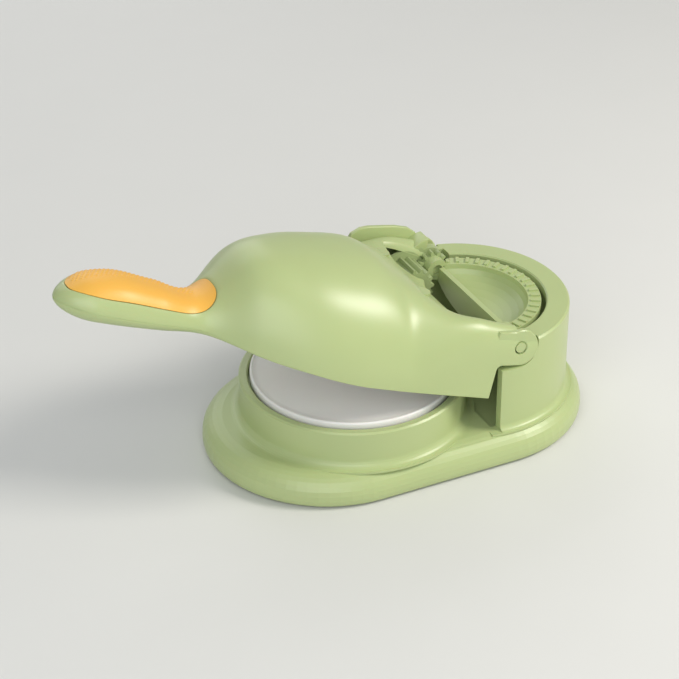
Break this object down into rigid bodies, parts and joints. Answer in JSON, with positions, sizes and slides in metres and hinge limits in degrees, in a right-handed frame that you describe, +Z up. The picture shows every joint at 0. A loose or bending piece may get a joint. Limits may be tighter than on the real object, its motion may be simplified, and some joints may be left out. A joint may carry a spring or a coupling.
{
  "type": "empanada press",
  "caption": "Kitchen press whose domed lever flattens dough on a white plate, with a geared mould in its tower that folds as the lever lifts",
  "frame": {"origin": "on the table under the middle of the foot, halfway between its two round ends", "axes": "+X runs back from the handle to the tower, +Z is up, and +Y completes the right-handed frame"},
  "size_m": [0.2537, 0.1152, 0.1149],
  "materials": {
    "green_body": "satin moulded plastic",
    "green_gear": "satin moulded plastic, a little darker",
    "orange_grip": "soft satin plastic with small bumps",
    "white_plate": "smooth white plastic",
    "screw_steel": "zinc plated steel",
    "foot_rubber": "matte rubber"
  },
  "bodies": {
    "base": {"base_shell": "green_body", "bottom_plate": "green_body", "rubber_feet": "foot_rubber", "base_screws": "screw_steel", "press_plate": "white_plate", "near_pivot_pin": "green_body", "far_pivot_pin": "green_body", "gear_segment": "green_gear", "segment_screws": "screw_steel"},
    "lever": {"lever_shell": "green_body", "handle_cover": "green_body", "handle_screws": "screw_steel", "grip_insert": "orange_grip", "press_head": "green_body", "press_pad": "white_plate", "head_screws": "screw_steel", "planet_shaft": "screw_steel"},
    "planet": {"planet_gear": "green_gear"},
    "mould": {"rear_mould": "green_body", "mould_gear": "green_gear", "mould_gear_screws": "screw_steel"}
  },
  "joints": [
    {"name": "lever_hinge", "type": "hinge", "parent": "base", "child": "lever", "pos_m": [0.038, 0, 0.056], "axis": [0, 1, 0], "range_deg": [-14, 60]},
    {"name": "planet_spin", "type": "hinge", "parent": "lever", "child": "planet", "pos_m": [0.02225, 0.03, 0.05265], "axis": [0, 1, 0], "range_deg": [-17.6, 75.1]},
    {"name": "mould_hinge", "type": "hinge", "parent": "base", "child": "mould", "pos_m": [0.038, 0, 0.056], "axis": [0, 1, 0], "range_deg": [-49.2, 11.6]}
  ],
  "couplings": [
    {"joint": "planet_spin", "follows": "lever_hinge", "ratio": 1.25},
    {"joint": "mould_hinge", "follows": "lever_hinge", "ratio": -0.81818}
  ]
}
